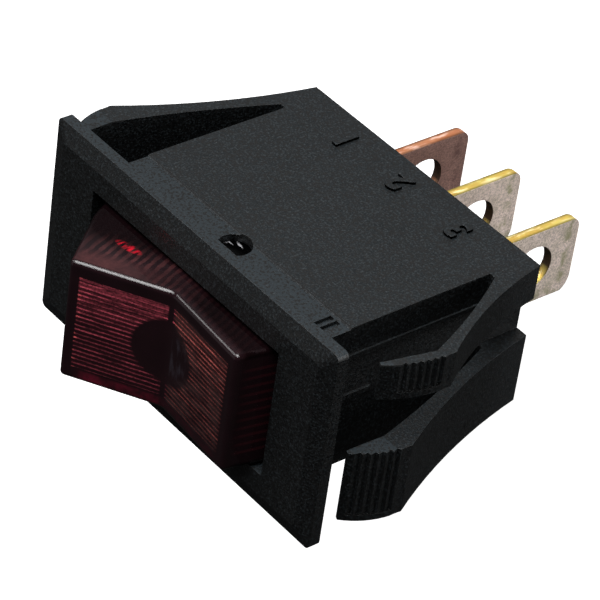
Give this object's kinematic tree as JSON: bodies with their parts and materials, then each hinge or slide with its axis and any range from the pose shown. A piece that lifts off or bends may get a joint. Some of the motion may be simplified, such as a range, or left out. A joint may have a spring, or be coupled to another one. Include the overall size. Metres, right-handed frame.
{
  "type": "panel rocker switch",
  "caption": "Lighted snap-in rocker switch with a red V-shaped lens, diagonal snap wings and quick-connect tabs.",
  "frame": {"origin": "centre of the bezel's back face, in the plane of the panel's front face", "axes": "+Z out of the panel towards the rocker, X along the bezel, Y across it; the rocker's pressed end is at -X"},
  "size_m": [0.035, 0.0164, 0.0365],
  "materials": {
    "black_nylon": "fine matt moulded texture",
    "black_acetal": "smooth semi-matt",
    "smoked_red_lens": "smoked translucent red, polished",
    "tinned_brass": "dull tin plate with bare brass edges",
    "copper_alloy": "copper plate, dull brown, with bare edges",
    "silver_contact": "silver, satin",
    "seesaw_copper": "bright rolled copper",
    "white_acetal": "smooth natural white",
    "spring_steel": "drawn wire",
    "bare_brass": "bright stamped",
    "lamp_glass": "clear",
    "nickel_wire": "drawn wire",
    "resistor_body": "painted ceramic",
    "tinned_wire": "tinned copper wire"
  },
  "bodies": {
    "housing": {"housing": "black_nylon", "common_terminal": "tinned_brass", "load_terminal": "tinned_brass", "lamp_terminal": "copper_alloy", "fixed_contact_rivet": "silver_contact", "lamp_spring_far": "spring_steel", "lamp_spring_near": "spring_steel"},
    "rocker": {"rocker_lens": "smoked_red_lens", "rocker_carrier": "black_acetal", "plunger_spring": "spring_steel", "lamp_eyelet_far": "bare_brass", "lamp_eyelet_near": "bare_brass", "neon_bulb": "lamp_glass", "neon_electrode_far": "nickel_wire", "neon_electrode_near": "nickel_wire", "ballast_resistor": "resistor_body", "resistor_lead_in": "tinned_wire", "resistor_lead_out": "tinned_wire"},
    "plunger": {"plunger": "white_acetal"},
    "seesaw": {"moving_contact": "seesaw_copper", "moving_contact_rivet": "silver_contact"}
  },
  "joints": [
    {"name": "rocker_tilt", "type": "hinge", "parent": "housing", "child": "rocker", "pos_m": [0, 0, -0.00292], "axis": [0, 1, 0], "range_deg": [0, 27.4], "deforming": ["lamp_spring_far", "lamp_spring_near"]},
    {"name": "contact_rock", "type": "hinge", "parent": "housing", "child": "seesaw", "pos_m": [0, 0, -0.00868], "axis": [0, 1, 0], "range_deg": [-18.05, 0]},
    {"name": "plunger_slide", "type": "slide", "parent": "rocker", "child": "plunger", "axis": [-0.2368, 0, 0.9715], "range_m": [0, 0.001], "stiffness_N_per_m": 1000, "springref_m": -0.0005, "deforming": ["plunger_spring"]}
  ],
  "couplings": [
    {"joint": "contact_rock", "follows": "rocker_tilt", "ratio": -0.65693}
  ]
}
